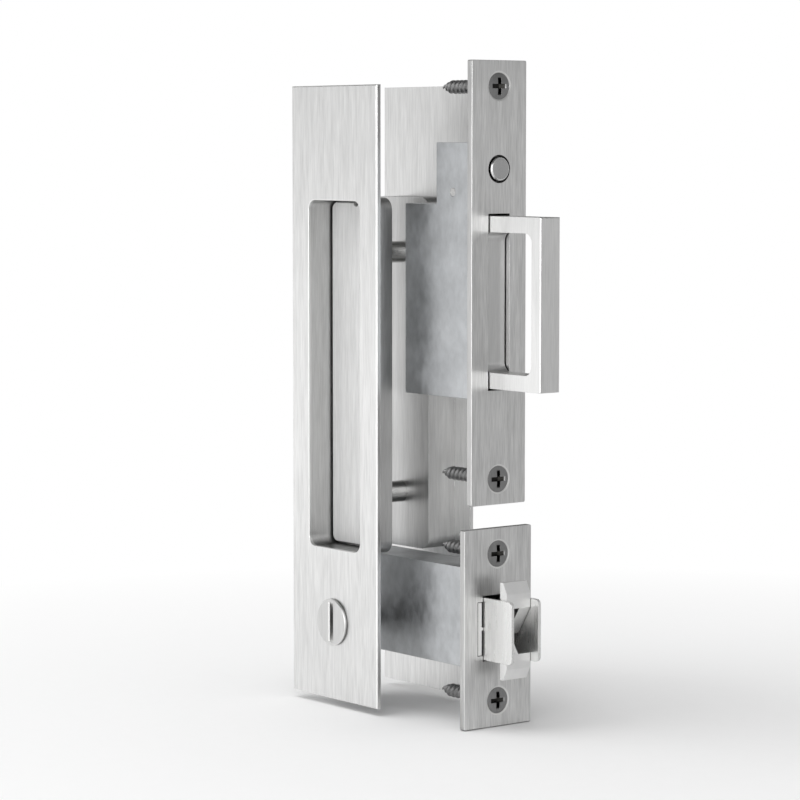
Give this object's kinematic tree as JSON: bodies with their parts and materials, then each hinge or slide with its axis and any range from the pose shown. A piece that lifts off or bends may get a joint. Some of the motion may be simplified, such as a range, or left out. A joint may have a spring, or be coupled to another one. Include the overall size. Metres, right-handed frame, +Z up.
{
  "type": "pocket door lock",
  "caption": "Satin steel pocket lock set: flush pull plates with deep finger recess and coin release, edge lock with hinged claw bolt, and spring-out edge pull with release button.",
  "frame": {"origin": "centre of the bolt in the plane of the faceplates' fronts, at mid-thickness", "axes": "+X out of the edge, +Y from the outside face to the inside face, +Z up"},
  "size_m": [0.1211, 0.0534, 0.238],
  "materials": {
    "plate_steel": "satin stainless steel, brushed along its length",
    "bolt_steel": "satin stainless steel",
    "screw_steel": "dull stainless steel",
    "zinc_steel": "zinc-plated sheet and castings",
    "pin_steel": "ground steel",
    "spring_steel": "dark spring steel"
  },
  "bodies": {
    "mounted_set": {"outside_plate": "plate_steel", "outside_panel": "plate_steel", "fixing_posts": "zinc_steel", "inside_plate": "plate_steel", "inside_panel": "plate_steel", "fixing_screws": "screw_steel", "lock_faceplate": "plate_steel", "bolt_guides": "plate_steel", "lock_screws": "screw_steel", "lock_case": "zinc_steel", "case_cover": "zinc_steel", "case_pillars": "zinc_steel", "case_screws": "screw_steel", "detent_leaf": "spring_steel", "edge_plate": "plate_steel", "edge_screws": "screw_steel", "edge_housing": "zinc_steel", "housing_screws": "screw_steel", "pull_springs": "spring_steel", "button_spring": "spring_steel", "catch_pin": "pin_steel"},
    "turn": {"coin_turn": "plate_steel", "outside_turn_clip": "spring_steel", "thumb_turn": "plate_steel", "inside_turn_clip": "spring_steel", "spindle": "pin_steel", "lock_hub": "zinc_steel"},
    "bolt": {"bolt_cheek_outside": "bolt_steel", "bolt_cheek_inside": "bolt_steel", "bolt_tail": "zinc_steel", "bolt_rivets": "pin_steel", "claw_pivot_pin": "pin_steel"},
    "claw_up": {"upper_claw": "bolt_steel"},
    "claw_down": {"lower_claw": "bolt_steel"},
    "pull": {"pull_handle": "plate_steel"},
    "button": {"release_button": "plate_steel"},
    "catch": {"catch_lever": "zinc_steel"}
  },
  "joints": [
    {"name": "bolt_slide", "type": "slide", "parent": "mounted_set", "child": "bolt", "axis": [-1, 0, 0], "range_m": [0, 0.02]},
    {"name": "turn_hinge", "type": "hinge", "parent": "mounted_set", "child": "turn", "pos_m": [-0.068, 0, -0.0044], "axis": [0, -1, 0], "range_deg": [0, 90]},
    {"name": "upper_claw_hinge", "type": "hinge", "parent": "bolt", "child": "claw_up", "pos_m": [0.0035, 0, 0], "axis": [0, 1, 0], "range_deg": [0, 42.5]},
    {"name": "lower_claw_hinge", "type": "hinge", "parent": "bolt", "child": "claw_down", "pos_m": [0.0035, 0, 0], "axis": [0, -1, 0], "range_deg": [0, 42.5]},
    {"name": "pull_slide", "type": "slide", "parent": "mounted_set", "child": "pull", "axis": [-1, 0, 0], "range_m": [0, 0.0278], "stiffness_N_per_m": 60, "springref_m": -0.02, "deforming": ["pull_springs"]},
    {"name": "button_push", "type": "slide", "parent": "mounted_set", "child": "button", "axis": [-1, 0, 0], "range_m": [0, 0.0025], "stiffness_N_per_m": 600, "springref_m": -0.003, "deforming": ["button_spring"]},
    {"name": "catch_swing", "type": "hinge", "parent": "mounted_set", "child": "catch", "pos_m": [-0.016, 0, 0.1555], "axis": [0, -1, 0], "range_deg": [0, 18.5]}
  ],
  "couplings": [
    {"joint": "turn_hinge", "follows": "bolt_slide", "rad_per_m": 78.539},
    {"joint": "upper_claw_hinge", "follows": "bolt_slide", "rad_per_m": 37.08},
    {"joint": "lower_claw_hinge", "follows": "bolt_slide", "rad_per_m": 37.08},
    {"joint": "catch_swing", "follows": "button_push", "rad_per_m": 129.1}
  ]
}
